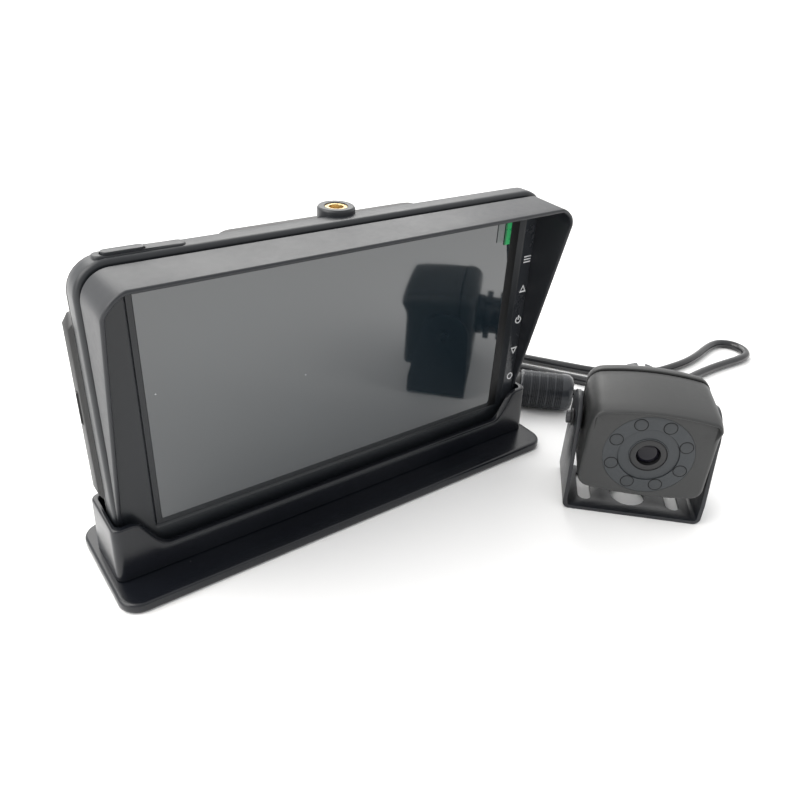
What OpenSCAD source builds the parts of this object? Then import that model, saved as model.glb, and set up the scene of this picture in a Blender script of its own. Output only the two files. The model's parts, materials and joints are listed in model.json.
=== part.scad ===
// Backup camera kit: a 7 inch dash monitor with a sunshade, standing in its
// desk stand, and a small rear-view camera on its bracket with its lead.
// Frame: origin on the table under the middle of the stand, +X along the
// monitor's width, +Y towards its back, +Z up. Millimetres.

/* [Stand] */
// Length of the base plate
plate_l = 198; // [180:1:220]
// Depth of the base plate
plate_d = 50.2; // [44:0.2:60]
// Thickness of the base plate
plate_t = 4.1; // [3:0.1:6]
// Height of the cradle's rim at its ends
rim_z = 26.5; // [22:0.5:34]
// Height of the cradle's front rim in the middle
rim_low = 14; // [11:0.5:18]

/* [Monitor] */
// Half of the monitor's width
mon_w2 = 93.25; // [93:0.05:93.3]
// Height of the monitor's top above the table
mon_top = 118.2; // [117:0.1:119]
// Height of the monitor's lower edge above the table
mon_bot = 6.5; // [6.4:0.1:7]
// Radius of the monitor's corners
mon_r = 11; // [8:0.5:13]
// Visible width of the screen
lcd_w = 154.1; // [150:0.1:155]
// Visible height of the screen
lcd_h = 85.9; // [80:0.1:87]
// Height of the lower edge of the visible screen
lcd_z = 21.3; // [20:0.1:22]
// How far the sunshade reaches in front of the screen's frame
shade = 19.5; // [14:0.5:24]
// Thickness of the sunshade
shade_t = 1.5; // [1.2:0.1:1.8]

/* [Camera] */
// Half of the bracket's outer width
brk_w2 = 28.3; // [28:0.1:29]
// Depth of the bracket
brk_d = 26; // [24:0.5:30]
// Sheet thickness of the bracket
brk_t = 1.6; // [1.2:0.1:1.8]
// How far the bracket's floor reaches in front of its arms
brk_f = 4; // [0:0.5:4.5]
// Height of the tilt axis above the table
piv_z = 34.6; // [34:0.1:36]
// Distance of the tilt axis behind the bracket's front edge
piv_y = 12.9; // [12:0.1:14]
// Height of the lens axis
lens_z = 33; // [32:0.1:34]
// Radius on which the infrared lamps stand
led_r = 14.5; // [14:0.1:14.8]

/* [Lead] */
// Diameter of the camera's lead
cord_d = 4.8; // [4.4:0.1:5]
// Radius of the middle turn of the coiled lead
coil_r = 27; // [26:0.5:29]
// Outer diameter of the ribbed sleeve of the connector
plug_d = 19; // [17:0.5:20]

/* [Hidden] */
$fn = 64;
face_y = -6.8;            // front face of the monitor's frame
seam_y = 0.5;             // parting line between the two shells
back_y = 10.7;            // back of the rear shell
hump_y = 17.5;            // back of the raised middle
lcd_top = lcd_z + lcd_h;
win_w = lcd_w / 2 + 2.1;  // half width of the frame's window
// the camera's own frame on the table
cam_o = [95.6, -78.6, 0];
cam_a = -44.2;
cr = cord_d / 2;
coil_c = [95, 72, 0];
coil_w = 9.3;             // half width of the bundle of turns
coil_z0 = 0.8;
coil_z1 = 10.8;
// middle line of the lead from the gland to the coil
ROUTE_A = [[131.1,-42.1,37],[134.5,-38.6,36.8],[138.3,-34.7,35.2],[142,-30.9,32],[145.6,-27.2,27.6],
  [149.1,-23.6,22.6],[152.6,-20,17.4],[156,-16.5,12.4],[159.2,-13,8],[162,-9.4,4.8],[163.9,-5.4,3],[164.4,-0.8,2.4],
  [163,4,2.4],[158.8,10.6,2.4],[153.2,18.4,2.4],[147.6,26.4,2.4],[142.4,33.8,2.4],[136.4,39,2.4],[128,41,2.4],
  [118,40.3,2.5],[107,39,2.8],[96,38.5,3.2]];
// middle line of the lead from the coil to the connector
ROUTE_B = [[122.2,92.1,8.1],[125.8,87.2,7.8],[129.2,82.2,7],[132.6,76.4,5.7],[135.8,70,4.3],[139.2,62.8,3],[143,55.4,2.4],
  [147.8,47.8,2.4],[153.5,39.9,2.4],[159.6,31.6,2.4],[165.6,23.4,2.4],[171.4,15.6,2.4],[178,8,2.4],[186,1.2,2.4],
  [195.6,-4.4,2.4],[206,-7.6,2.4],[218,-9,2.4],[232,-9.2,2.4],[245,-7.6,2.4],[254,-5.6,2.4],
  [262,-4.1,2.4],[268,-3.8,2.4],[272.9,-5.1,2.4],[276.5,-8.7,2.4],[277.8,-13.6,2.4],[276.5,-18.5,2.4],[272.9,-22.1,2.4],[268,-23.4,2.4],[261,-23.5,2.4],
  [250,-22.6,2.4],[236,-22,2.4],[220,-22.4,2.4],[204,-24.2,2.4],[188,-26,2.4],[174,-26.6,2.6],[162,-25,3.6],[151.6,-20.8,5.8],
  [143.4,-15.2,8.2],[138.2,-10.8,9.3],[134.4,-7.4,9.5]];
plug_o = [135,-8,9.5];
plug_a = 136.2;

// ---------- helpers ----------
// rounded rectangle from circles and squares
module rrect(x0, x1, y0, y1, r) {
  translate([x0 + r, y0]) square([x1 - x0 - 2 * r, y1 - y0]);
  translate([x0, y0 + r]) square([x1 - x0, y1 - y0 - 2 * r]);
  for (x = [x0 + r, x1 - r], y = [y0 + r, y1 - r]) translate([x, y]) circle(r);
}
// upright slab: a rounded rectangle in X and Z, from y0 to y1
module slab(x0, x1, z0, z1, r, y0, y1)
  translate([0, y1, 0]) rotate([90, 0, 0]) linear_extrude(y1 - y0) rrect(x0, x1, z0, z1, r);
// flat slab: a rounded rectangle in X and Y, from z0 to z1
module flat(x0, x1, y0, y1, r, z0, z1)
  translate([0, 0, z0]) linear_extrude(z1 - z0) rrect(x0, x1, y0, y1, r);
// cylinder along +Y from y0 to y1
module ycyl(x, z, r, y0, y1) translate([x, y1, z]) rotate([90, 0, 0]) cylinder(r = r, h = y1 - y0);
// cylinder along +X from x0 to x1
module xcyl(y, z, r, x0, x1) translate([x0, y, z]) rotate([0, 90, 0]) cylinder(r = r, h = x1 - x0);
// places things in the camera's frame
module at_cam() translate(cam_o) rotate([0, 0, cam_a]) children();

// a smooth tube through a list of points
function sub(a, b) = [a[0]-b[0], a[1]-b[1], a[2]-b[2]];
function unit(v) = v / norm(v);
function tang(P, i) = unit(sub(P[min(i + 1, len(P) - 1)], P[max(i - 1, 0)]));
function side(t) = unit(cross(t, [0, 0, 1]));
module tube(P, r, n = 8) {
  m = len(P);
  pts = [for (i = [0:m-1]) let (t = tang(P, i), s = side(t), u = cross(s, t))
    for (k = [0:n-1]) P[i] + r * (cos(360 * k / n) * s + sin(360 * k / n) * u)];
  fcs = concat([for (i = [0:m-2], k = [0:n-1]) [i*n+k, i*n+(k+1)%n, (i+1)*n+(k+1)%n, (i+1)*n+k]],
    [[for (k = [n-1:-1:0]) k]], [[for (k = [0:n-1]) (m-1)*n+k]]);
  polyhedron(points = pts, faces = fcs, convexity = 6);
}

// ---------- stand ----------
cs_x = [-72, -24, 24, 72];
module base_plate() color([0.14, 0.15, 0.16]) difference() {
  hull() {
    flat(-plate_l/2 + 0.8, plate_l/2 - 0.8, -plate_d/2 + 0.8, plate_d/2 - 0.8, 6.7, 0, 0.2, $fn = 32);
    flat(-plate_l/2, plate_l/2, -plate_d/2, plate_d/2, 7.5, 0.8, plate_t - 1.2, $fn = 32);
    for (a = [22.5:22.5:90]) let (i = 1.2 * (1 - cos(a)))
      flat(-plate_l/2 + i, plate_l/2 - i, -plate_d/2 + i, plate_d/2 - i, 7.5 - i, plate_t - 1.3 + 1.2 * sin(a), plate_t - 1.2 + 1.2 * sin(a), $fn = 32);
  }
  for (x = cs_x) translate([x, 0.6, -1]) { cylinder(r = 1.6, h = 9); cylinder(r = 3, h = 1 + 2.2); }
}
function s_rim(x) = abs(x) <= 77 ? rim_low : abs(x) >= 91 ? rim_z + 2 :
  rim_low + (rim_z + 2 - rim_low) * (1 - cos(180 * (abs(x) - 77) / 14)) / 2;
module cradle() color([0.13, 0.14, 0.15]) difference() {
  hull() {
    flat(-96.3, 96.3, -12, 13.4, 3, plate_t, plate_t + 0.4, $fn = 32);
    flat(-95.6, 95.6, -11.6, 13, 3, rim_z - 0.4, rim_z, $fn = 32);
  }
  flat(-93.65, 93.65, -9.4, 11.1, 2.2, 6.2, rim_z + 5);
  translate([0, -8.4, 0]) rotate([90, 0, 0]) linear_extrude(20)
    polygon(concat([for (x = [-92:1:92]) [x, s_rim(x)]], [[92, 60], [-92, 60]]));
  for (x = cs_x) translate([x, 0.6, 3]) cylinder(r = 1.5, h = 2.6);
}
module cradle_screws() color([0.55, 0.56, 0.58]) for (x = cs_x) translate([x, 0.6, 0]) difference() {
  union() { translate([0, 0, 0.6]) cylinder(r = 2.8, h = 1.6); translate([0, 0, 1]) cylinder(r = 1.45, h = 4.5); }
  translate([0, 0, 0.3]) cylinder(r = 1.2, h = 1.1, $fn = 6);
}

// ---------- monitor ----------
scr = [[-84, 15], [84, 15], [-84, 106], [84, 106]];
module boss_cut() translate([0, 4.2, 100]) cylinder(r = 6.85, h = 30);
module front_bezel() color([0.17, 0.18, 0.19]) difference() {
  union() {
    difference() {
      union() {
        hull() {
          slab(-mon_w2, mon_w2, mon_bot, mon_top, mon_r, -5.4, seam_y, $fn = 32);
          slab(-mon_w2 + 1.4, mon_w2 - 1.4, mon_bot + 1.4, mon_top - 1.4, mon_r - 1.4, face_y, -6, $fn = 32);
        }
        flat(-87, -58, -5.2, -0.1, 2.2, mon_top - 2, mon_top + 0.9);
      }
      slab(-mon_w2 + 2, mon_w2 - 2, mon_bot + 2, mon_top - 2, mon_r - 2, -4.8, seam_y + 1);
    }
    for (p = scr) ycyl(p[0], p[1], 3.1, -5.4, seam_y);
  }
  slab(-win_w, win_w, lcd_z - 2.1, lcd_top + 2.1, 0.8, face_y - 1, 0);
  for (p = scr) ycyl(p[0], p[1], 1.3, -4.4, seam_y + 1);
  boss_cut();
  flat(-83.4, -70.2, -4.7, -0.7, 1.9, mon_top - 4, mon_top + 3);
}
// front edge line of the sunshade's sides, as [y, z]
rim_line = [[face_y - shade - 0.6, mon_top + 4], [face_y - shade - 0.6, 112.6], [face_y - 0.05, 24.5]];
module sunshade_hood() color([0.18, 0.19, 0.2]) intersection() {
  difference() {
    hull() {
      slab(-92.2, 92.2, -30, 117, 9.5, face_y - 0.3, face_y, $fn = 32);
      slab(-91.7, 91.7, -30, 116.2, 7.5, face_y - shade, face_y - shade + 0.3, $fn = 32);
    }
    hull() {
      slab(-92.2 + shade_t, 92.2 - shade_t, -32, 117 - shade_t, 8, face_y + 0.1, face_y + 0.4, $fn = 32);
      slab(-91.7 + shade_t, 91.7 - shade_t, -32, 116.2 - shade_t, 6, face_y - shade - 0.4, face_y - shade - 0.1, $fn = 32);
    }
  }
  translate([-100, 0, 0]) rotate([90, 0, 90]) linear_extrude(200)
    polygon(concat(rim_line, [[face_y, 24.5], [face_y, mon_top + 4]]));
}
module screen_glass() color([0.05, 0.06, 0.08]) slab(-win_w + 0.2, win_w - 0.2, lcd_z - 1.9, lcd_top + 1.9, 0.6, face_y + 0.5, face_y + 1.7);
module lcd_module() color([0.7, 0.71, 0.72]) difference() {
  slab(-80, 80, 18.4, 110.4, 1.5, face_y + 2.1, 0.2);
  slab(-74, 74, 26, 103, 1, -2, 1);
}
key_z = [89.1, 75.6, 60.9, 45.9, 32.6];
key_x = 88.2;
module kplate(z) translate([key_x, face_y, z]) rotate([90, 0, 0]) linear_extrude(0.15) children();
module tri2(s) polygon([[-s, -s * 0.8], [s, -s * 0.8], [0, s]]);
module key_symbols() color([0.92, 0.92, 0.92]) {
  kplate(key_z[0]) for (k = [-1:1]) translate([-1.9, k * 1.2 - 0.25]) square([3.8, 0.5]);
  kplate(key_z[1]) difference() { tri2(1.9); tri2(1.05); }
  kplate(key_z[2]) { difference() { circle(1.7); circle(1.2); translate([-0.6, 0]) square([1.2, 3]); } translate([-0.25, 0.1]) square([0.5, 2.2]); }
  kplate(key_z[3]) mirror([0, 1]) difference() { tri2(1.9); tri2(1.05); }
  kplate(key_z[4]) difference() { circle(1.7); circle(1.2); }
}
module touch_board() color([0.1, 0.35, 0.2]) {
  translate([83.4, -4.4, 24]) cube([7.2, 1.2, 74]);
  for (z = key_z) ycyl(86.8, z, 2.2, -4.75, -4.4);
}
module main_board() color([0.1, 0.32, 0.2]) {
  difference() {
    translate([-56, 3, 40]) cube([112, 1.6, 62]);
    for (x = [-52, 52], z = [44, 98]) ycyl(x, z, 1.6, 2, 6);
  }
  translate([-18, 4.6, 66]) cube([20, 1.6, 20]);
  translate([14, 4.6, 70]) cube([12, 1.4, 14]);
  translate([-46, 4.6, 70]) cube([16, 3, 12]);
  for (x = [36, 46]) ycyl(x, 84, 3.4, 4.6, 8.2);
}
module speaker() color([0.2, 0.2, 0.22]) {
  difference() { ycyl(0, 56, 13, 10.6, 14.8); ycyl(0, 56, 10.8, 13.8, 16); }
  ycyl(0, 56, 8, 8, 10.6);
  difference() { ycyl(0, 56, 10.7, 13.4, 14.4); ycyl(0, 56, 4, 13, 15); }
}
// rounding of the rear shell and of its raised middle: [y, side inset, top drop]
cov = [[3, 0.3, 0.5], [5, 0.9, 1.3], [7, 1.9, 2.4], [8.6, 3, 3.6], [9.8, 4.2, 4.9], [back_y, 6, 6.6]];
hmp = [[9, 0, 0], [13, 1.2, 0.3], [15, 2.2, 0.9], [16.4, 3.4, 2], [17.2, 4.8, 3.4], [hump_y, 6.2, 5]];
module rear_cover() color([0.16, 0.17, 0.18]) difference() {
  union() {
    hull() {
      slab(-mon_w2, mon_w2, mon_bot, mon_top - 0.6, mon_r, seam_y, seam_y + 1, $fn = 32);
      for (p = cov) slab(-mon_w2 + p[1], mon_w2 - p[1], mon_bot + p[1] * 0.7, mon_top - 0.6 - p[2], mon_r - p[1] * 0.3, p[0] - 0.1, p[0], $fn = 32);
    }
    hull() for (p = hmp) slab(-46 + p[1], 46 - p[1], 34 + p[1], 114.6 - p[2], 8, p[0] - 0.1, p[0], $fn = 32);
    hull() {
      translate([-94.5, 2.6, 33]) cube([1, 6.2, 62]);
      translate([-92.4, 1.2, 30]) cube([1, 8, 68]);
    }
  }
  hull() {
    slab(-mon_w2 + 2, mon_w2 - 2, mon_bot + 2, mon_top - 2.6, mon_r - 2, seam_y - 1, seam_y + 1, $fn = 32);
    slab(-86.6, 86.6, mon_bot + 6, 110.4, 8, back_y - 2.4, back_y - 2, $fn = 32);
  }
  hull() {
    slab(-43.5, 43.5, 36.5, 112, 6, 7, 9, $fn = 32);
    slab(-39, 39, 41, 110.4, 6, hump_y - 2.4, hump_y - 2, $fn = 32);
  }
  boss_cut();
  for (p = scr) { ycyl(p[0], p[1], 1.35, 0, 12); ycyl(p[0], p[1], 2.7, back_y - 1, 12); }
  translate([-96, 5.2, 59.6]) cube([10.5, 1.6, 12.8]);
  for (k = [-3:3]) translate([-9 + abs(k), hump_y - 3, 55.5 + k * 3]) cube([18 - 2 * abs(k), 5, 1.2]);
  ycyl(-24, 52, 5.2, hump_y - 3, hump_y + 1);
  ycyl(26, 52, 7.2, hump_y - 3, hump_y + 1);
}
module insert_boss() color([0.17, 0.18, 0.19]) translate([0, 4.2, 0]) difference() {
  union() {
    translate([0, 0, 110.6]) cylinder(r = 6.75, h = 8.9);
    translate([0, 0, 119.5]) cylinder(r1 = 6.75, r2 = 6.2, h = 0.7);
  }
  translate([0, 0, 111.6]) cylinder(r = 4.05, h = 12);
}
module brass_insert() color([0.83, 0.67, 0.32]) translate([0, 4.2, 111.7]) difference() {
  cylinder(r = 4, h = 8.2);
  translate([0, 0, -1]) cylinder(r = 2.6, h = 12);
}
module rear_screws() color([0.3, 0.31, 0.33]) for (p = scr) difference() {
  union() { ycyl(p[0], p[1], 1.25, -4, back_y - 0.6); ycyl(p[0], p[1], 2.5, back_y - 0.95, back_y - 0.2); }
  translate([p[0] - 1.5, back_y - 0.65, p[1] - 0.3]) cube([3, 1, 0.6]);
  translate([p[0] - 0.3, back_y - 0.65, p[1] - 1.5]) cube([0.6, 1, 3]);
}
module card_reader() color([0.72, 0.73, 0.75]) difference() {
  translate([-86.8, 4.4, 58.6]) cube([11.2, 3.2, 14.8]);
  translate([-91, 5.2, 59.9]) cube([14.4, 1.6, 12.2]);
}
module memory_card() color([0.1, 0.1, 0.11]) difference() {
  translate([-95, 5.6, 60.4]) cube([15.4, 0.8, 11.2]);
  translate([-83, 5, 59]) cube([4, 2, 2.4]);
}
module top_button() color([0.15, 0.16, 0.17]) {
  flat(-83.1, -70.5, -4.4, -1, 1.65, mon_top - 3.2, mon_top + 1.2);
  flat(-83.9, -68.8, -4.5, -0.6, 1.9, 114.3, 115.6);
}
module button_switch() color([0.6, 0.61, 0.63]) {
  translate([-83, -4.7, 110.6]) cube([12, 4.4, 0.7]);
  translate([-79.8, -4.6, 111.2]) cube([6, 3.8, 1.3]);
  translate([-76.8, -2.7, 112.4]) cylinder(r = 1.2, h = 0.7);
}
module power_socket() color([0.12, 0.12, 0.13]) {
  difference() { ycyl(-24, 52, 5, 8, hump_y - 0.3); ycyl(-24, 52, 3.2, 9.5, hump_y + 1); }
  ycyl(-24, 52, 1, 9, hump_y - 1.4);
}
module video_socket() color([0.2, 0.2, 0.21]) {
  difference() { ycyl(26, 52, 7, 8, hump_y - 0.3); ycyl(26, 52, 5.4, 10, hump_y + 1); }
  for (a = [45:90:315]) ycyl(26 + 2.7 * cos(a), 52 + 2.7 * sin(a), 0.5, 9.5, hump_y - 2.4);
}
module film_tab() color([0.1, 0.65, 0.3]) {
  translate([73.6, face_y + 0.2, 97.4]) cube([3.1, 0.22, 11.2]);
  translate([69.6, face_y + 0.2, 99]) cube([3.4, 0.18, 9.6]);
}

// ---------- camera bracket ----------
module camera_bracket() color([0.16, 0.17, 0.18]) at_cam() difference() {
  intersection() {
    translate([0, brk_d + 1, 0]) rotate([90, 0, 0]) linear_extrude(brk_d + 7) difference() {
      rrect(-brk_w2, brk_w2, 0, 80, 3);
      rrect(-brk_w2 + brk_t, brk_w2 - brk_t, brk_t, 90, 1.4);
    }
    translate([-40, 0, 0]) rotate([90, 0, 90]) linear_extrude(80) union() {
      polygon([[-brk_f, 0], [brk_d, 0], [brk_d, 12], [piv_y + 12, piv_z], [piv_y - 12, piv_z], [-brk_f, 10]]);
      translate([piv_y, piv_z]) circle(12);
    }
  }
  xcyl(piv_y, piv_z, 1.65, -40, 40);
  translate([0, 8.6, -1]) cylinder(r = 7.2, h = 5);
  for (s = [-1, 1]) translate([s * 18.5, 0, -1]) linear_extrude(5) rrect(-2.8, 2.8, 1.9, 22, 2.75);
}

// ---------- camera head ----------
// barrel outline: straight-ish sides, crowned top and bottom, round corners
module outline(w, zb, zt, r, dt, db) offset(r, $fn = 32) offset(delta = -r) intersection() {
  translate([-w, zb]) square([2 * w, zt - zb]);
  translate([0, zt - (w*w + dt*dt) / (2*dt)]) circle((w*w + dt*dt) / (2*dt), $fn = 160);
  translate([0, zb + (w*w + db*db) / (2*db)]) circle((w*w + db*db) / (2*db), $fn = 160);
}
module oslab(w, zb, zt, r, dt, db, y0, y1)
  translate([0, y1, 0]) rotate([90, 0, 0]) linear_extrude(y1 - y0) outline(w, zb, zt, r, dt, db);
hs = [[-18.5, 24], [18.5, 24], [-18.5, 48.6], [18.5, 48.6]];
module head_front_shell() color([0.2, 0.21, 0.22]) at_cam() difference() {
  union() {
    difference() {
      union() {
        hull() {
          oslab(24.2, 13, 52.5, 5, 2.2, 2, -7, -6.6);
          oslab(25, 12.4, 56, 6, 2.6, 2, -4.6, -4.2);
          oslab(25, 13, 57.2, 7, 2.8, 2, 18.2, 18.6);
        }
        intersection() {
          hull() {
            oslab(24.4, 12.4, 55.2, 5, 2.4, 2, -9.6, -9.2);
            oslab(25, 13, 57, 6, 2.6, 2, -5.4, -5);
            oslab(25, 13, 57.2, 7, 2.8, 2, 12, 12.4);
          }
          translate([0, 20, 0]) rotate([90, 0, 0]) linear_extrude(40) difference() {
            translate([-30, 44]) square([60, 20]);
            translate([0, 51.6 - 118]) circle(118, $fn = 160);
          }
        }
      }
      hull() {
        oslab(22, 15.4, 49.6, 4, 2, 2, -4.8, -4.4);
        oslab(22.6, 15.4, 54.6, 5, 2.6, 2, 18.4, 19);
      }
    }
    for (p = hs) ycyl(p[0], p[1], 3, -5, 18.6);
    for (s = [-1, 1]) xcyl(piv_y, piv_z, 4.6, s > 0 ? 17.6 : -24.9, s > 0 ? 24.9 : -17.6);
  }
  ycyl(0, lens_z, 17.7, -12, -4);
  for (p = hs) ycyl(p[0], p[1], 1.05, 6, 20);
  for (s = [-1, 1]) xcyl(piv_y, piv_z, 2.55, s > 0 ? 18.6 : -26, s > 0 ? 26 : -18.6);
}
module head_gasket() color([0.05, 0.05, 0.05]) at_cam() difference() {
  oslab(24.6, 13.4, 56.8, 6.6, 2.6, 2, 18.6, 19.2);
  oslab(22.6, 15.4, 54.6, 5, 2.6, 2, 18, 20);
  for (p = hs) ycyl(p[0], p[1], 1.3, 18, 20);
}
module head_rear_shell() color([0.19, 0.2, 0.21]) at_cam() difference() {
  hull() {
    oslab(25, 13, 57.2, 7, 2.8, 2, 19.2, 19.8);
    oslab(24.4, 14, 56.4, 7, 2.6, 2, 22.6, 23);
    oslab(21.6, 17, 53, 7, 2.4, 2, 26.6, 27);
  }
  hull() {
    oslab(22.6, 15.4, 54.6, 5, 2.6, 2, 19, 19.4);
    oslab(20, 19, 51, 5, 2, 2, 24.4, 24.8);
  }
  ycyl(0, 36.9, 6.1, 20, 30);
  for (p = hs) { ycyl(p[0], p[1], 1.2, 18, 30); ycyl(p[0], p[1], 2.3, 25.6, 30); }
}
lamps = [for (k = [0:7]) 22.5 + 45 * k];
module face_ring() color([0.23, 0.24, 0.25]) at_cam() difference() {
  ycyl(0, lens_z, 17.6, -6.9, -4.9);
  ycyl(0, lens_z, 11.9, -8, -4);
  for (a = lamps) ycyl(led_r * cos(a), lens_z + led_r * sin(a), 2.5, -8, -4);
}
module infrared_lamps() color([0.25, 0.26, 0.28]) at_cam() for (a = lamps)
  translate([led_r * cos(a), -2.9, lens_z + led_r * sin(a)]) rotate([90, 0, 0]) union() {
    cylinder(r = 2.4, h = 4.1);
    cylinder(r = 2.65, h = 1.2);
  }
module lamp_board() color([0.1, 0.3, 0.18]) at_cam() difference() {
  ycyl(0, lens_z, 16.8, -2.8, -1.6);
  ycyl(0, lens_z, 8.6, -4, 0);
}
module lens_bezel() color([0.22, 0.23, 0.24]) at_cam() difference() {
  union() {
    ycyl(0, lens_z, 11.8, -6.5, -3.2);
    ycyl(0, lens_z, 7.6, -7.1, -6);
  }
  ycyl(0, lens_z, 6.95, -9, 0);
}
module lens_barrel() color([0.08, 0.08, 0.09]) at_cam() difference() {
  union() { ycyl(0, lens_z, 6.9, -7, 0); ycyl(0, lens_z, 8.4, 0, 2.8); }
  ycyl(0, lens_z, 4.7, -8, -4.4);
}
module lens_glass() color([0.03, 0.03, 0.05]) at_cam() translate([0, -4.5, lens_z]) rotate([90, 0, 0])
  rotate_extrude() polygon(concat([[0, 0], [4.6, 0], [4.6, 0.4]], [for (k = [1:8]) [4.6 * cos(90 * k / 8), 0.4 + 1.3 * sin(90 * k / 8)]]));
module sensor_board() color([0.1, 0.3, 0.18]) at_cam() {
  difference() {
    translate([-17.2, 3, 18.6]) cube([34.4, 1.6, 30.4]);
    for (p = hs) ycyl(p[0], p[1], 3.3, 2, 6);
  }
  translate([-6, 4.6, 26]) cube([12, 2, 12]);
  translate([-10, 4.6, 41]) cube([20, 4, 5]);
}
module pivot_inserts() color([0.8, 0.66, 0.34]) at_cam() for (s = [0, 1]) mirror([s, 0, 0]) difference() {
  xcyl(piv_y, piv_z, 2.5, 19, 24.9);
  xcyl(piv_y, piv_z, 1.5, 18, 26);
}
module pivot_screws() color([0.2, 0.2, 0.21]) at_cam() for (s = [0, 1]) mirror([s, 0, 0]) difference() {
  union() {
    xcyl(piv_y, piv_z, 1.48, 20, 26);
    xcyl(piv_y, piv_z, 1.6, 25, 29.6);
    xcyl(piv_y, piv_z, 2.7, 29.4, 31.2);
  }
  xcyl(piv_y, piv_z, 1.3, 30.2, 32, $fn = 6);
}
module pivot_washers() color([0.12, 0.12, 0.13]) at_cam() for (s = [0, 1]) mirror([s, 0, 0]) {
  difference() { xcyl(piv_y, piv_z, 4.4, 25.05, brk_w2 - brk_t - 0.3); xcyl(piv_y, piv_z, 1.65, 24, 28); }
  difference() { xcyl(piv_y, piv_z, 3.6, brk_w2 + 0.3, brk_w2 + 1.05); xcyl(piv_y, piv_z, 1.65, 28, 30); }
}
module head_screws() color([0.35, 0.36, 0.38]) at_cam() for (p = hs) difference() {
  union() { ycyl(p[0], p[1], 1, 7, 26); ycyl(p[0], p[1], 2.1, 25.65, 26.6); }
  translate([p[0] - 1.2, 26.2, p[1] - 0.25]) cube([2.4, 1, 0.5]);
  translate([p[0] - 0.25, 26.2, p[1] - 1.2]) cube([0.5, 1, 2.4]);
}
module gland_base() color([0.1, 0.1, 0.11]) at_cam() difference() {
  union() { ycyl(0, 36.9, 10.2, 27.05, 30.4); ycyl(0, 36.9, 6, 20, 30); ycyl(0, 36.9, 8, 19.6, 21); }
  ycyl(0, 36.9, 2.5, 18, 32);
}
module gland_nut() color([0.12, 0.12, 0.13]) at_cam() difference() {
  union() { ycyl(0, 36.9, 12.5, 31.2, 34.2); ycyl(0, 36.9, 9.5, 30.45, 38.4); ycyl(0, 36.9, 12.5, 38, 41); }
  for (a = [0:45:315]) translate([0, 36.1, 36.9]) rotate([0, a, 0]) translate([-1.6, -6, 11]) cube([3.2, 12, 4]);
  ycyl(0, 36.9, 2.5, 30, 42);
}
module gland_bush() color([0.07, 0.07, 0.08]) at_cam() translate([0, 41.05, 36.9]) rotate([-90, 0, 0]) {
  cylinder(r1 = 6.4, r2 = 3.9, h = 9);
  translate([0, 0, -20]) cylinder(r = 2.4, h = 21);
}

// ---------- lead ----------
module lead_front() color([0.06, 0.06, 0.07]) tube(ROUTE_A, cr);
module lead_rear() color([0.06, 0.06, 0.07]) tube(ROUTE_B, cr);
module lead_coil() color([0.06, 0.06, 0.07]) translate(coil_c) rotate_extrude($fn = 72)
  translate([coil_r, 0]) polygon([[-coil_w, coil_z0 + 2], [-coil_w + 2, coil_z0], [coil_w - 2, coil_z0], [coil_w, coil_z0 + 2],
    [coil_w, coil_z1 - 2], [coil_w - 2, coil_z1], [-coil_w + 2, coil_z1], [-coil_w, coil_z1 - 2]]);
module coil_ties() color([0.1, 0.1, 0.1]) for (a = [100, 215]) translate(coil_c) rotate([0, 0, a])
  translate([coil_r, 2.5, 0]) rotate([90, 0, 0]) linear_extrude(5) difference() {
    rrect(-coil_w - 0.9, coil_w + 0.9, 0, coil_z1 + 0.8, 2.6);
    rrect(-coil_w - 0.1, coil_w + 0.1, 0.75, coil_z1 + 0.05, 1.9);
  }

// ---------- connector ----------
module at_plug() translate(plug_o) rotate([0, 0, plug_a]) rotate([0, 90, 0]) children();
module connector_sleeve() color([0.09, 0.09, 0.1]) at_plug() difference() {
  rotate_extrude() polygon(concat([[0, 0.3], [4, 0.3], [plug_d/2 - 2.2, 0.3], [plug_d/2, 2.6]],
    [for (g = [0:3], k = [0:3]) let (z = 6.4 + g * 5.2 + k * 0.9) each [[plug_d/2, z], [plug_d/2 - 0.45, z + 0.15], [plug_d/2 - 0.45, z + 0.5], [plug_d/2, z + 0.65]]],
    [[plug_d/2, 26], [plug_d/2 - 1, 27], [0, 27]]));
  translate([0, 0, 20]) cylinder(r = 6.6, h = 10);
}
module connector_body() color([0.13, 0.13, 0.14]) at_plug() difference() {
  union() {
    translate([0, 0, 20]) cylinder(r = 6.5, h = 9);
    translate([0, 0, 27.1]) cylinder(r = 7.6, h = 2.4);
    translate([0, 0, 29]) cylinder(r = 5.6, h = 9);
  }
  translate([0, 0, 32]) cylinder(r = 4.4, h = 8);
}
module connector_pins() color([0.85, 0.72, 0.4]) at_plug() for (a = [45:90:315])
  translate([2.2 * cos(a), 2.2 * sin(a), 32]) cylinder(r = 0.5, h = 5);
module coupling_ring() color([0.5, 0.51, 0.53]) at_plug() difference() {
  union() {
    translate([0, 0, 29.8]) cylinder(r = 7.3, h = 8);
    for (a = [0:20:340]) rotate([0, 0, a]) translate([7.1, -0.5, 30.6]) cube([0.6, 1, 6.4]);
  }
  translate([0, 0, 29]) cylinder(r = 5.68, h = 10);
}

base_plate();
cradle();
cradle_screws();
front_bezel();
sunshade_hood();
screen_glass();
lcd_module();
key_symbols();
touch_board();
main_board();
speaker();
rear_cover();
insert_boss();
brass_insert();
rear_screws();
card_reader();
memory_card();
top_button();
button_switch();
power_socket();
video_socket();
film_tab();
camera_bracket();
head_front_shell();
head_rear_shell();
head_gasket();
face_ring();
lens_bezel();
lens_barrel();
lens_glass();
infrared_lamps();
lamp_board();
sensor_board();
pivot_inserts();
pivot_screws();
pivot_washers();
head_screws();
gland_base();
gland_nut();
gland_bush();
lead_front();
lead_coil();
coil_ties();
lead_rear();
connector_sleeve();
connector_body();
connector_pins();
coupling_ring();
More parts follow.
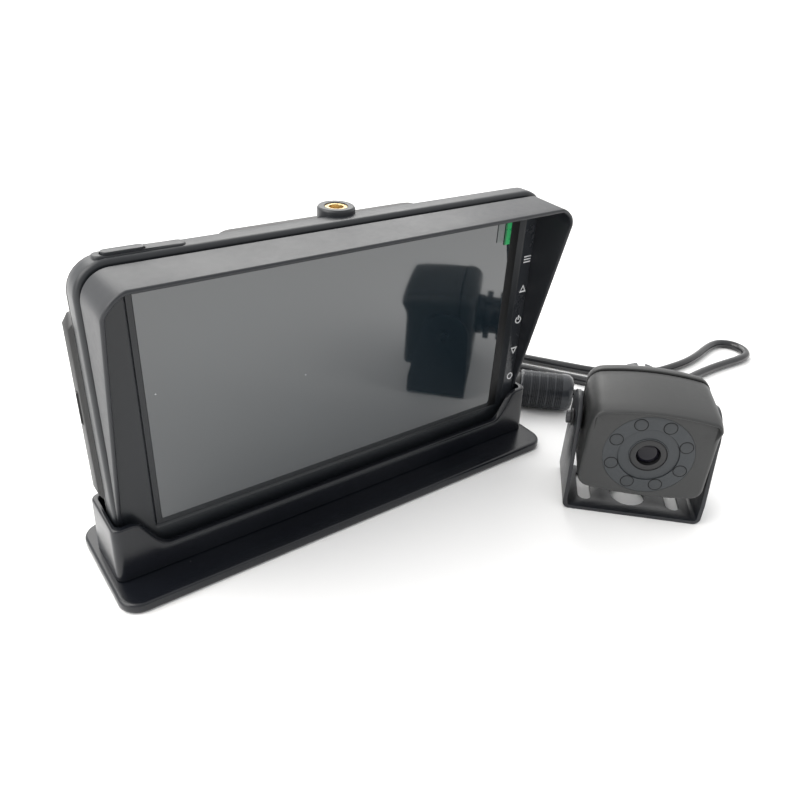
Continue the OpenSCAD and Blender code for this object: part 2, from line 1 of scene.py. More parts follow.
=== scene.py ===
import bpy
import bmesh
import json
import math
import numpy as np
from mathutils import Vector, Matrix


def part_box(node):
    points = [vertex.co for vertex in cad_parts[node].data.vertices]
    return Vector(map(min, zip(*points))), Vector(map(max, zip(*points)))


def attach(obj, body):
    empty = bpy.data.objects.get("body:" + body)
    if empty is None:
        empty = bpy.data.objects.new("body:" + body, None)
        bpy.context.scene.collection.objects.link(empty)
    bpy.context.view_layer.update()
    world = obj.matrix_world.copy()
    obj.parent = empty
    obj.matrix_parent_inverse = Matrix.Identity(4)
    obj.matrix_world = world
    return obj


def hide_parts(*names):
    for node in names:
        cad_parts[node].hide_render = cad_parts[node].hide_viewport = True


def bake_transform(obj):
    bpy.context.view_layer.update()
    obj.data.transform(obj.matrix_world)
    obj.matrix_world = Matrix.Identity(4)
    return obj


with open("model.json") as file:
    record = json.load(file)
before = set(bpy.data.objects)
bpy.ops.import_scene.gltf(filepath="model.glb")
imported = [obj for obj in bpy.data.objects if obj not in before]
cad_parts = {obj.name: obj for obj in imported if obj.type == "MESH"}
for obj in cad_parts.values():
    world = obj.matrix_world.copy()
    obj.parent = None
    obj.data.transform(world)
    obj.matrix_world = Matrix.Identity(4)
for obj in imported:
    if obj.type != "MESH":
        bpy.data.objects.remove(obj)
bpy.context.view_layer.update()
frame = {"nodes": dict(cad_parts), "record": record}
N = frame["nodes"]
BODY = {n: b for b, ns in frame["record"]["behaviour"]["bodies"].items() for n in ns}
scene = bpy.context.scene
MM = 0.001

# ------------------------------------------------------------------ camera
YAW, PITCH, ROLL = 0.662, 0.5388, 0.0652
f = Vector((math.sin(YAW) * math.cos(PITCH), math.cos(YAW) * math.cos(PITCH), -math.sin(PITCH)))
r0 = Vector((math.cos(YAW), -math.sin(YAW), 0))
u0 = r0.cross(f)
rr_ = math.cos(ROLL) * r0 + math.sin(ROLL) * u0
uu_ = -math.sin(ROLL) * r0 + math.cos(ROLL) * u0
cam = bpy.data.objects.new("camera", bpy.data.cameras.new("camera"))
scene.collection.objects.link(cam)
m = Matrix((rr_, uu_, -f)).transposed().to_4x4()
m.translation = Vector((-0.1372, -0.2152, 0.1968))
cam.matrix_world = m
cam.data.lens = 33.57
cam.data.sensor_width = 36
cam.data.sensor_fit = "HORIZONTAL"
cam.data.clip_start = 0.01
cam.data.dof.use_dof = False
scene.camera = cam


# --------------------------------------------------------------- materials
def nodes_of(name):
    mt = bpy.data.materials.new(name)
    mt.use_nodes = True
    nt = mt.node_tree
    bs = nt.nodes["Principled BSDF"]
    tc = nt.nodes.new("ShaderNodeTexCoord")
    return mt, nt, bs, tc.outputs["Object"]


def noise(nt, vec, scale, detail=2.0, rough=0.55, out="Fac"):
    n = nt.nodes.new("ShaderNodeTexNoise")
    n.inputs["Scale"].default_value = scale
    n.inputs["Detail"].default_value = detail
    n.inputs["Roughness"].default_value = rough
    nt.links.new(vec, n.inputs["Vector"])
    return n.outputs[out]


def ramp(nt, fac, stops, interp="LINEAR"):
    n = nt.nodes.new("ShaderNodeValToRGB")
    n.color_ramp.interpolation = interp
    e = n.color_ramp.elements
    while len(e) < len(stops):
        e.new(0.5)
    for k, (p, c) in enumerate(stops):
        e[k].position = p
        e[k].color = (*c, 1) if len(c) == 3 else c
    nt.links.new(fac, n.inputs["Fac"])
    return n.outputs["Color"]


def maprange(nt, v, a, b, c, d):
    n = nt.nodes.new("ShaderNodeMapRange")
    for k, x in zip(("From Min", "From Max", "To Min", "To Max"), (a, b, c, d)):
        n.inputs[k].default_value = x
    nt.links.new(v, n.inputs["Value"])
    return n.outputs["Result"]


def mixc(nt, fac, a, b):
    n = nt.nodes.new("ShaderNodeMix")
    n.data_type = "RGBA"
    for k, v in ((0, fac), (6, a), (7, b)):
        if isinstance(v, (int, float)):
            n.inputs[k].default_value = v
        elif isinstance(v, tuple):
            n.inputs[k].default_value = (*v, 1)
        else:
            nt.links.new(v, n.inputs[k])
    return n.outputs[2]


def math_(nt, op, a, b=0.0):
    n = nt.nodes.new("ShaderNodeMath")
    n.operation = op
    for k, v in ((0, a), (1, b)):
        if isinstance(v, (int, float)):
            n.inputs[k].default_value = v
        else:
            nt.links.new(v, n.inputs[k])
    return n.outputs[0]


def bump(nt, h, strength, dist, base=None):
    n = nt.nodes.new("ShaderNodeBump")
    n.inputs["Strength"].default_value = strength
    n.inputs["Distance"].default_value = dist
    nt.links.new(h, n.inputs["Height"])
    if base is not None:
        nt.links.new(base, n.inputs["Normal"])
    return n.outputs["Normal"]


def setk(bs, **kw):
    for k, v in kw.items():
        bs.inputs[k.replace("_", " ")].default_value = v


def satin(name, col, col2, rough, dr, grain, bstr, bdist, specular=0.5, ior=1.46, coat=0.0, coat_rough=0.3,
          metallic=0.0, dust=0.0, wave=0.0):
    """Moulded or painted surface: fine grain, slow waviness, roughness drift, a little dust."""
    mt, nt, bs, co = nodes_of(name)
    big = noise(nt, co, 38, 3)
    mid = noise(nt, co, 420, 3)
    fine = noise(nt, co, grain, 2, 0.6)
    c = mixc(nt, maprange(nt, big, 0.3, 0.7, 0, 1), col, col2)
    c = mixc(nt, maprange(nt, mid, 0.35, 0.75, 0, 0.35), c, tuple(min(1, x * 1.35 + 0.001) for x in col))
    if dust > 0:
        d = nt.nodes.new("ShaderNodeTexVoronoi")
        d.inputs["Scale"].default_value = 260
        d.inputs["Randomness"].default_value = 1
        nt.links.new(co, d.inputs["Vector"])
        near = math_(nt, "LESS_THAN", d.outputs["Distance"], 0.055)
        some = math_(nt, "GREATER_THAN", noise(nt, co, 120, 1), 0.66)
        c = mixc(nt, math_(nt, "MULTIPLY", math_(nt, "MULTIPLY", near, some), dust), c, (0.45, 0.44, 0.42))
    nt.links.new(c, bs.inputs["Base Color"])
    rg = math_(nt, "ADD", maprange(nt, big, 0.3, 0.7, rough - dr, rough + dr), maprange(nt, mid, 0.3, 0.7, -dr * 0.5, dr * 0.5))
    nt.links.new(rg, bs.inputs["Roughness"])
    nrm = bump(nt, fine, bstr, bdist)
    if wave > 0:
        nrm = bump(nt, noise(nt, co, 22, 1), wave, 0.004, nrm)
    nt.links.new(nrm, bs.inputs["Normal"])
    setk(bs, Metallic=metallic, IOR=ior, Specular_IOR_Level=specular, Coat_Weight=coat, Coat_Roughness=coat_rough)
    return mt


M = {}
M["stand_plastic"] = satin("stand_plastic", (0.0046, 0.0056, 0.0082), (0.0066, 0.0078, 0.0108), 0.22, 0.03, 3600, 0.12, 0.00005, 0.5, 1.46, dust=0.12, wave=0.02)
M["bezel_plastic"] = satin("bezel_plastic", (0.0085, 0.0102, 0.0128), (0.0115, 0.0136, 0.0165), 0.36, 0.035, 3900, 0.22, 0.00007, 0.5, 1.48, dust=0.5, wave=0.015)
M["hood_plastic"] = satin("hood_plastic", (0.0085, 0.0098, 0.0128), (0.0120, 0.0136, 0.0168), 0.41, 0.04, 3300, 0.30, 0.00008, 0.5, 1.5, dust=0.6, wave=0.015)
M["cover_plastic"] = satin("cover_plastic", (0.0120, 0.0120, 0.0125), (0.0165, 0.0165, 0.0165), 0.46, 0.04, 2900, 0.35, 0.00009, 0.5, 1.48, dust=0.5, wave=0.015)
M["camera_paint"] = satin("camera_paint", (0.0205, 0.0213, 0.0215), (0.0270, 0.0278, 0.0278), 0.45, 0.05, 2600, 0.50, 0.00011, 0.5, 1.5, dust=0.4)
M["bracket_paint"] = satin("bracket_paint", (0.0088, 0.0100, 0.0130), (0.0128, 0.0142, 0.0175), 0.34, 0.045, 2100, 0.42, 0.00012, 0.5, 1.5)
M["camera_face"] = satin("camera_face", (0.0245, 0.0282, 0.0318), (0.0305, 0.0345, 0.0382), 0.50, 0.04, 3400, 0.32, 0.00008, 0.5, 1.5)
M["gland_plastic"] = satin("gland_plastic", (0.0200, 0.0222, 0.0265), (0.0265, 0.0290, 0.0340), 0.25, 0.03, 3400, 0.18, 0.00006, 0.5, 1.48)
# Dark rubber of the head's gasket, also the colour of the rings of painted shade round the lamps and the lens.
M["gasket_rubber"] = satin("gasket_rubber", (0.0040, 0.0040, 0.0042), (0.0060, 0.0060, 0.0060), 0.75, 0.06, 3000, 0.35, 0.00008, 0.3, 1.45)
M["lens_black"] = satin("lens_black", (0.0075, 0.0078, 0.0085), (0.0110, 0.0112, 0.0120), 0.30, 0.03, 4200, 0.10, 0.00004, 0.5, 1.5)
M["socket_plastic"] = satin("socket_plastic", (0.0100, 0.0100, 0.0105), (0.0150, 0.0150, 0.0155), 0.38, 0.04, 3400, 0.18, 0.00006)
M["card_plastic"] = satin("card_plastic", (0.0090, 0.0090, 0.0100), (0.0120, 0.0120, 0.0130), 0.42, 0.05, 4200, 0.15, 0.00005)
M["speaker_cone"] = satin("speaker_cone", (0.0200, 0.0200, 0.0210), (0.0280, 0.0280, 0.0290), 0.70, 0.08, 1500, 0.60, 0.0002)
M["black_screw"] = satin("black_screw", (0.0500, 0.0500, 0.0530), (0.0800, 0.0800, 0.0830), 0.34, 0.08, 1800, 0.20, 0.00006, metallic=0.85)
# Key strip: its colour is lifted above the bezel's, partly painted reflection of the bright floor.
M["key_strip_and_painted_reflection"] = satin("key_strip_and_painted_reflection", (0.0220, 0.0245, 0.0290), (0.0270, 0.0300, 0.0345), 0.26, 0.03, 4200, 0.06, 0.00003, 0.5, 1.5)
M["white_print"] = satin("white_print", (0.780, 0.790, 0.800), (0.860, 0.865, 0.870), 0.45, 0.05, 5200, 0.15, 0.00003)
# Near-black for the strip at the screen's right edge: partly the screen's black border, partly painted shade on the
# bezel's chamfer.
M["screen_border"] = satin("screen_border", (0.0035, 0.0037, 0.0042), (0.0050, 0.0052, 0.0058), 0.45, 0.05, 4200, 0.10, 0.00004, 0.35)


def metal(name, col, col2, rough, streak, grain):
    """Bare turned or rolled metal, with fine streaks and a slight tarnish."""
    mt, nt, bs, co = nodes_of(name)
    mp = nt.nodes.new("ShaderNodeMapping")
    mp.inputs["Scale"].default_value = (1, 1, streak)
    nt.links.new(co, mp.inputs["Vector"])
    fine = noise(nt, mp.outputs["Vector"], grain, 3, 0.6)
    big = noise(nt, co, 160, 3)
    nt.links.new(mixc(nt, maprange(nt, big, 0.3, 0.7, 0, 1), col, col2), bs.inputs["Base Color"])
    nt.links.new(math_(nt, "ADD", maprange(nt, fine, 0.3, 0.7, -0.08, 0.08), maprange(nt, big, 0.3, 0.7, rough - 0.04, rough + 0.06)), bs.inputs["Roughness"])
    nt.links.new(bump(nt, fine, 0.25, 0.00006), bs.inputs["Normal"])
    setk(bs, Metallic=1.0)
    return mt


M["brass"] = metal("brass", (0.66, 0.50, 0.25), (0.52, 0.38, 0.17), 0.26, 6.0, 1500)
M["zinc_steel"] = metal("zinc_steel", (0.55, 0.56, 0.58), (0.44, 0.46, 0.50), 0.30, 1.0, 2400)
M["ring_metal"] = metal("ring_metal", (0.42, 0.43, 0.45), (0.34, 0.35, 0.37), 0.28, 1.0, 2600)
M["sheet_metal"] = metal("sheet_metal", (0.60, 0.61, 0.62), (0.52, 0.53, 0.55), 0.34, 8.0, 1800)


def rubber_lead():
    """Glossy soft jacket with drawing marks and a light bloom."""
    mt, nt, bs, co = nodes_of("lead_rubber")
    a = noise(nt, co, 900, 3)
    b = noise(nt, co, 60, 2)
    nt.links.new(mixc(nt, maprange(nt, b, 0.3, 0.7, 0, 1), (0.0072, 0.0077, 0.0092), (0.0105, 0.0112, 0.0128)), bs.inputs["Base Color"])
    nt.links.new(math_(nt, "ADD", maprange(nt, a, 0.3, 0.7, -0.03, 0.03), maprange(nt, b, 0.3, 0.7, 0.17, 0.23)), bs.inputs["Roughness"])
    nt.links.new(bump(nt, a, 0.12, 0.00008), bs.inputs["Normal"])
    setk(bs, IOR=1.52, Specular_IOR_Level=0.5, Coat_Weight=0.15, Coat_Roughness=0.15)
    return mt


M["lead_rubber"] = rubber_lead()


def screen_glass_mat():
    """Dark display surface with a strong clear reflection, faint smears and a few specks of dust."""
    mt, nt, bs, co = nodes_of("screen")
    big = noise(nt, co, 16, 2)
    smear = noise(nt, co, 70, 4, 0.65)
    c = mixc(nt, maprange(nt, big, 0.3, 0.7, 0, 1), (0.0080, 0.0140, 0.0190), (0.0105, 0.0175, 0.0230))
    d = nt.nodes.new("ShaderNodeTexVoronoi")
    d.inputs["Scale"].default_value = 120
    nt.links.new(co, d.inputs["Vector"])
    near = math_(nt, "LESS_THAN", d.outputs["Distance"], 0.034)
    some = math_(nt, "GREATER_THAN", noise(nt, co, 55, 1), 0.64)
    c = mixc(nt, math_(nt, "MULTIPLY", math_(nt, "MULTIPLY", near, some), 0.55), c, (0.50, 0.52, 0.54))
    nt.links.new(c, bs.inputs["Base Color"])
    nt.links.new(maprange(nt, smear, 0.35, 0.75, 0.035, 0.075), bs.inputs["Roughness"])
    nt.links.new(bump(nt, noise(nt, co, 30, 1), 0.006, 0.002), bs.inputs["Normal"])
    setk(bs, IOR=2.05, Specular_IOR_Level=0.5)
    return mt


M["screen"] = screen_glass_mat()


def lens_mat():
    """Coated front lens: black glass whose base colour turns violet and green with the viewing angle, a painted
    reflection tint of the coating.
    """
    mt, nt, bs, co = nodes_of("lens_glass")
    lw = nt.nodes.new("ShaderNodeLayerWeight")
    lw.inputs["Blend"].default_value = 0.45
    # Painted reflection: the base colour changes with the viewing angle, standing in for the coating's tinted
    # reflection.
    c = ramp(nt, lw.outputs["Facing"], [(0.0, (0.0040, 0.0035, 0.0060)), (0.45, (0.0060, 0.0052, 0.0100)), (0.8, (0.0050, 0.0080, 0.0080)), (1.0, (0.003, 0.003, 0.004))])
    nt.links.new(c, bs.inputs["Base Color"])
    nt.links.new(maprange(nt, noise(nt, co, 500, 2), 0.3, 0.7, 0.07, 0.12), bs.inputs["Roughness"])
    setk(bs, IOR=1.45, Specular_IOR_Level=0.38)
    return mt


M["lens_glass"] = lens_mat()


def lamp_mat():
    """Smoked resin caps of the lamps, their tone and roughness drifting at random."""
    mt, nt, bs, co = nodes_of("lamp_caps")
    b = noise(nt, co, 700, 3)
    nt.links.new(mixc(nt, maprange(nt, b, 0.3, 0.7, 0, 1), (0.0235, 0.0270, 0.0302), (0.0300, 0.0336, 0.0370)), bs.inputs["Base Color"])
    nt.links.new(maprange(nt, b, 0.3, 0.7, 0.40, 0.50), bs.inputs["Roughness"])
    nt.links.new(bump(nt, b, 0.10, 0.0001), bs.inputs["Normal"])
    setk(bs, IOR=1.48)
    return mt


M["lamp_caps"] = lamp_mat()


def board_mat():
    """Solder mask with copper tracks under it."""
    mt, nt, bs, co = nodes_of("circuit_board")
    br = nt.nodes.new("ShaderNodeTexBrick")
    br.inputs["Scale"].default_value = 260
    br.inputs["Mortar Size"].default_value = 0.06
    br.inputs["Color1"].default_value = (0.008, 0.060, 0.026, 1)
    br.inputs["Color2"].default_value = (0.010, 0.075, 0.032, 1)
    br.inputs["Mortar"].default_value = (0.030, 0.150, 0.060, 1)
    nt.links.new(co, br.inputs["Vector"])
    nt.links.new(br.outputs["Color"], bs.inputs["Base Color"])
    nt.links.new(maprange(nt, noise(nt, co, 300, 2), 0.3, 0.7, 0.28, 0.42), bs.inputs["Roughness"])
    nt.links.new(bump(nt, br.outputs["Fac"], 0.3, 0.00005), bs.inputs["Normal"])
    return mt


M["circuit_board"] = board_mat()


def film_mat():
    """Pull tab of the protective film: bright green end, darker green over a narrow band at its left, and a frosted
    grey strip.
    """
    mt, nt, bs, co = nodes_of("green_film")
    sp = nt.nodes.new("ShaderNodeSeparateXYZ")
    nt.links.new(co, sp.inputs["Vector"])
    g = noise(nt, co, 240, 3)
    green = mixc(nt, maprange(nt, g, 0.3, 0.7, 0, 1), (0.004, 0.330, 0.085), (0.006, 0.420, 0.115))
    dark = mixc(nt, maprange(nt, g, 0.3, 0.7, 0, 1), (0.002, 0.110, 0.036), (0.003, 0.140, 0.045))
    grey = mixc(nt, maprange(nt, g, 0.3, 0.7, 0, 1), (0.130, 0.150, 0.150), (0.180, 0.200, 0.195))
    c = mixc(nt, math_(nt, "GREATER_THAN", sp.outputs["X"], 0.0744), dark, green)
    c = mixc(nt, math_(nt, "GREATER_THAN", sp.outputs["X"], 0.0733), grey, c)
    nt.links.new(c, bs.inputs["Base Color"])
    nt.links.new(maprange(nt, g, 0.3, 0.7, 0.24, 0.36), bs.inputs["Roughness"])
    nt.links.new(bump(nt, noise(nt, co, 320, 2), 0.15, 0.0002), bs.inputs["Normal"])
    return mt


M["green_film"] = film_mat()


def tie_mat():
    """Hook and loop tie with a fine weave."""
    mt, nt, bs, co = nodes_of("tie_fabric")
    w = nt.nodes.new("ShaderNodeTexWave")
    w.inputs["Scale"].default_value = 520
    w.inputs["Distortion"].default_value = 1.5
    nt.links.new(co, w.inputs["Vector"])
    nt.links.new(mixc(nt, w.outputs["Fac"], (0.010, 0.010, 0.011), (0.026, 0.026, 0.028)), bs.inputs["Base Color"])
    nt.links.new(maprange(nt, noise(nt, co, 800, 2), 0.3, 0.7, 0.72, 0.92), bs.inputs["Roughness"])
    nt.links.new(bump(nt, w.outputs["Fac"], 0.5, 0.0003), bs.inputs["Normal"])
    setk(bs, Sheen_Weight=0.25)
    return mt


M["tie_fabric"] = tie_mat()


# ------------------------------------------------------------ mesh helpers
def make(name, bm, mat, body, angle=38, replaces=(), ride=True):
    bmesh.ops.recalc_face_normals(bm, faces=bm.faces)
    me = bpy.data.meshes.new(name)
    bm.to_mesh(me)
    bm.free()
    me.shade_smooth()
    me.set_sharp_from_angle(angle=math.radians(angle))
    ob = bpy.data.objects.new(name, me)
    scene.collection.objects.link(ob)
    me.materials.append(mat)
    if ride:
        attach(ob, body)
    if replaces:
        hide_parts(*replaces)
    return ob


def skin(rings, closed=True, loop=False, cap0=False, cap1=False):
    """A mesh through rings of points in millimetres. closed joins a ring's ends, loop joins the last ring to the first."""
    bm = bmesh.new()
    vs = [[bm.verts.new(Vector(p) * MM) for p in r] for r in rings]
    n = len(rings[0])
    last = len(rings) if loop else len(rings) - 1
    for k in range(last):
        a, b = vs[k], vs[(k + 1) % len(rings)]
        for i in range(n if closed else n - 1):
            j = (i + 1) % n
            q = [a[i], a[j], b[j], b[i]]
            if len({id(v) for v in q}) == 4:
                bm.faces.new(q)
    if cap0:
        bm.faces.new(list(reversed(vs[0])))
    if cap1:
        bm.faces.new(vs[-1])
    return bm


def join(bm, other):
    me = bpy.data.meshes.new("tmp")
    other.to_mesh(me)
    other.free()
    bm.from_mesh(me)
    bpy.data.meshes.remove(me)
    return bm


def rrect(x0, x1, z0, z1, r, nc=9, nx=24, nz=12):
    """Rounded rectangle as (x, z), starting at the lower left corner's end, going round by the right."""
    pts = []
    cs = [(x0 + r, z0 + r, 180), (x1 - r, z0 + r, 270), (x1 - r, z1 - r, 0), (x0 + r, z1 - r, 90)]
    for k, (cx, cz, a0) in enumerate(cs):
        arc = [(cx + r * math.cos(math.radians(a0 + 90 * i / nc)), cz + r * math.sin(math.radians(a0 + 90 * i / nc))) for i in range(nc + 1)]
        pts += arc
        cx2, cz2, a2 = cs[(k + 1) % 4]
        p, q = arc[-1], (cx2 + r * math.cos(math.radians(a2)), cz2 + r * math.sin(math.radians(a2)))
        n = nx if k % 2 == 0 else nz
        pts += [(p[0] + (q[0] - p[0]) * i / n, p[1] + (q[1] - p[1]) * i / n) for i in range(1, n)]
    return pts


def at_y(pts, y):
    return [(x, y, z) for x, z in pts]


CA = math.radians(-44.2)


def camf(x, y, z):
    return (95.6 + x * math.cos(CA) - y * math.sin(CA), -78.6 + x * math.sin(CA) + y * math.cos(CA), z)


def cut(ob, bm):
    """Takes a closed cutter out of a piece."""
    me = bpy.data.meshes.new("cut")
    bmesh.ops.recalc_face_normals(bm, faces=bm.faces)
    bm.to_mesh(me)
    bm.free()
    c = bpy.data.objects.new("cut", me)
    scene.collection.objects.link(c)
    md = ob.modifiers.new("b", "BOOLEAN")
    md.operation = "DIFFERENCE"
    md.solver = "EXACT"
    md.object = c
    dg = bpy.context.evaluated_depsgraph_get()
    new = bpy.data.meshes.new_from_object(ob.evaluated_get(dg))
    ob.modifiers.clear()
    old = ob.data
    ob.data = new
    bpy.data.meshes.remove(old)
    bpy.data.objects.remove(c)
    bpy.data.meshes.remove(me)


def smooth_again(ob, angle=38):
    ob.data.shade_smooth()
    ob.data.set_sharp_from_angle(angle=math.radians(angle))


def refine(node, mat, w=0.2, seg=2, ang=30, shade=34, limit=1.0):
    """A copy of a CAD node with its edges rounded, which stands for it."""
    src = N[node]
    bm = bmesh.new()
    bm.from_mesh(src.data)
    bmesh.ops.remove_doubles(bm, verts=bm.verts, dist=2e-6)
    bmesh.ops.dissolve_limit(bm, angle_limit=math.radians(limit), verts=bm.verts, edges=bm.edges)
    if w:
        ed = [e for e in bm.edges if len(e.link_faces) == 2 and e.calc_face_angle(0) > math.radians(ang)]
        bmesh.ops.bevel(bm, geom=ed, offset=w * MM, segments=seg, profile=0.55, affect="EDGES", clamp_overlap=True)
    bmesh.ops.recalc_face_normals(bm, faces=bm.faces)
    me = bpy.data.meshes.new("v_" + node)
    bm.to_mesh(me)
    bm.free()
    me.materials.clear()
    me.materials.append(mat)
    ob = bpy.data.objects.new("v_" + node, me)
    scene.collection.objects.link(ob)
    smooth_again(ob, shade)
    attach(ob, BODY[node])
    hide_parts(node)
    lo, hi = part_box(node)
    co = np.array([v.co for v in me.vertices])
    over = max(float((np.array(lo) - co.min(0)).max()), float((co.max(0) - np.array(hi)).max()))
    if over > 5e-5:
        print("refine over the box:", node, round(over * 1000, 3))
    return ob


def dress(node, mat):
    """A CAD node that stays, with its own finish."""
    ob = N[node]
    ob.data.materials.clear()
    ob.data.materials.append(mat)


# ------------------------------------------------------------------- cords
ROUTE_A = [[130.8, -42.4, 37], [134.5, -38.6, 36.8], [138.3, -34.7, 35.2], [142, -30.9, 32], [145.6, -27.2, 27.6],
           [149.1, -23.6, 22.6], [152.6, -20, 17.4], [156, -16.5, 12.4], [159.2, -13, 8], [162, -9.4, 4.8], [163.9, -5.4, 3], [164.4, -0.8, 2.4],
           [163, 4, 2.4], [158.8, 10.6, 2.4], [153.2, 18.4, 2.4], [147.6, 26.4, 2.4], [142.4, 33.8, 2.4], [136.4, 39, 2.4], [128, 41, 2.4],
           [118, 40.3, 2.5], [107, 39, 2.8]]
ROUTE_B = [[125.8, 87.2, 7.8], [129.2, 82.2, 7], [132.6, 76.4, 5.7], [135.8, 70, 4.3], [139.2, 62.8, 3], [143, 55.4, 2.4],
           [147.8, 47.8, 2.4], [153.5, 39.9, 2.4], [159.6, 31.6, 2.4], [165.6, 23.4, 2.4], [171.4, 15.6, 2.4], [178, 8, 2.4], [186, 1.2, 2.4],
           [195.6, -4.4, 2.4], [206, -7.6, 2.4], [218, -9, 2.4], [232, -9.2, 2.4], [245, -7.6, 2.4], [254, -5.6, 2.4],
           [262, -4.1, 2.4], [268, -3.8, 2.4], [272.9, -5.1, 2.4], [276.5, -8.7, 2.4], [277.8, -13.6, 2.4], [276.5, -18.5, 2.4],
           [272.9, -22.1, 2.4], [268, -23.4, 2.4], [261, -23.5, 2.4],
           [250, -22.6, 2.4], [236, -22, 2.4], [220, -22.4, 2.4], [204, -24.2, 2.4], [188, -26, 2.4], [174, -26.6, 2.6],
           [162, -25, 3.6], [151.6, -20.8, 5.8], [143.4, -15.2, 8.2], [138.2, -10.8, 9.3], [134.4, -7.4, 9.5]]


def smoothstep(t):
    t = max(0.0, min(1.0, t))
    return t * t * (3 - 2 * t)


def coil_point(n):
    """n turns from the coil's entry: a spiral inwards on the table, a rise, and a spiral outwards on top."""
    n1, rin, pitch, rise = 2.7, 20.3, 4.9, 0.2
    if n <= n1:
        r, z = rin + pitch * (n1 - n), 2.45
    elif n <= n1 + rise:
        r, z = rin, 2.45 + 4.9 * smoothstep((n - n1) / rise)
    else:
        r, z = rin + pitch * (n - n1 - rise), 7.35
    z += 0.75
    a = math.radians(271.8 - 360 * n)
    return [95 + r * math.cos(a), 72 + r * math.sin(a), z]


def catmull(P, step=2.2):
    P = [Vector(p) for p in P]
    E = [P[0] * 2 - P[1]] + P + [P[-1] * 2 - P[-2]]
    out = []
    for i in range(1, len(E) - 2):
        a, b, c, d = E[i - 1:i + 3]
        n = max(2, int(math.ceil((c - b).length / step)))
        t0 = 0.0
        t1 = t0 + math.sqrt((b - a).length)
        t2 = t1 + math.sqrt((c - b).length)
        t3 = t2 + math.sqrt((d - c).length)
        for k in range(n):
            t = t1 + (t2 - t1) * k / n
            a1 = a * ((t1 - t) / (t1 - t0)) + b * ((t - t0) / (t1 - t0))
            a2 = b * ((t2 - t) / (t2 - t1)) + c * ((t - t1) / (t2 - t1))
            a3 = c * ((t3 - t) / (t3 - t2)) + d * ((t - t2) / (t3 - t2))
            b1 = a1 * ((t2 - t) / (t2 - t0)) + a2 * ((t - t0) / (t2 - t0))
            b2 = a2 * ((t3 - t) / (t3 - t1)) + a3 * ((t - t1) / (t3 - t1))
            out.append(b1 * ((t2 - t) / (t2 - t1)) + b2 * ((t - t1) / (t2 - t1)))
    out.append(P[-1])
    return out


NT = 48
TURNS = 5.654
coil = [coil_point(TURNS * k / round(TURNS * NT)) for k in range(round(TURNS * NT) + 1)]
ctrl = [list(p) for p in ROUTE_A] + coil[::4] + ([] if (len(coil) - 1) % 4 == 0 else [coil[-1]]) + [list(p) for p in ROUTE_B]
line = catmull(ctrl)


def tube(pts, r, n=16, wob=0.0):
    up = Vector((0, 0, 1))
    rings = []
    t0 = (pts[1] - pts[0]).normalized()
    s = t0.cross(up).normalized()
    for i, p in enumerate(pts):
        t = (pts[min(i + 1, len(pts) - 1)] - pts[max(i - 1, 0)]).normalized()
        s = (s - t * s.dot(t)).normalized()
        u = s.cross(t)
        rings.append([tuple(p + r * (math.cos(2 * math.pi * k / n) * s + math.sin(2 * math.pi * k / n) * u)) for k in range(n)])
    return skin(rings, cap0=True, cap1=True)


lead = make("v_lead", tube(line, 2.4, 18), M["lead_rubber"], "stand", 60, ("lead_front", "lead_coil", "lead_rear"), ride=False)

# ---------------------------------------------------------------- connector
PA = math.radians(136.2)
PO = Vector((135, -8, 9.5))
PD = Vector((math.cos(PA), math.sin(PA), 0))
PS = PD.cross(Vector((0, 0, 1)))


def lathe(profile, o, d, s, seg=96):
    """Closed profile of (radius, distance) turned about the axis d through o."""
    u = s.cross(d)
    rings = []
    for k in range(seg):
        a = 2 * math.pi * k / seg
        e = math.cos(a) * s + math.sin(a) * u
        rings.append([tuple(o + d * z + e * rad) for rad, z in profile])
    bm = skin(rings, closed=True, loop=True)
    return bm


prof = [(2.42, 0.35), (6.6, 0.35), (7.5, 0.6), (8.3, 1.2), (9.0, 2.2), (9.35, 3.2), (9.48, 4.4), (9.5, 5.6)]
z = 6.2
for g in range(5):
    for k in range(4):
        zz = 6.2 + g * 4.0 + k * 0.86
        prof += [(9.5, zz), (9.30, zz + 0.10), (9.02, zz + 0.22), (9.02, zz + 0.46), (9.30, zz + 0.58), (9.5, zz + 0.68)]
prof += [(9.5, 26.0), (9.4, 26.5), (9.05, 26.85), (8.5, 27.0), (6.65, 27.0), (6.62, 20.0), (2.42, 19.9)]
sleeve = make("v_connector_sleeve", lathe(prof, PO, PD, PS, 96), M["gland_plastic"], "stand", 50, ("connector_sleeve",))

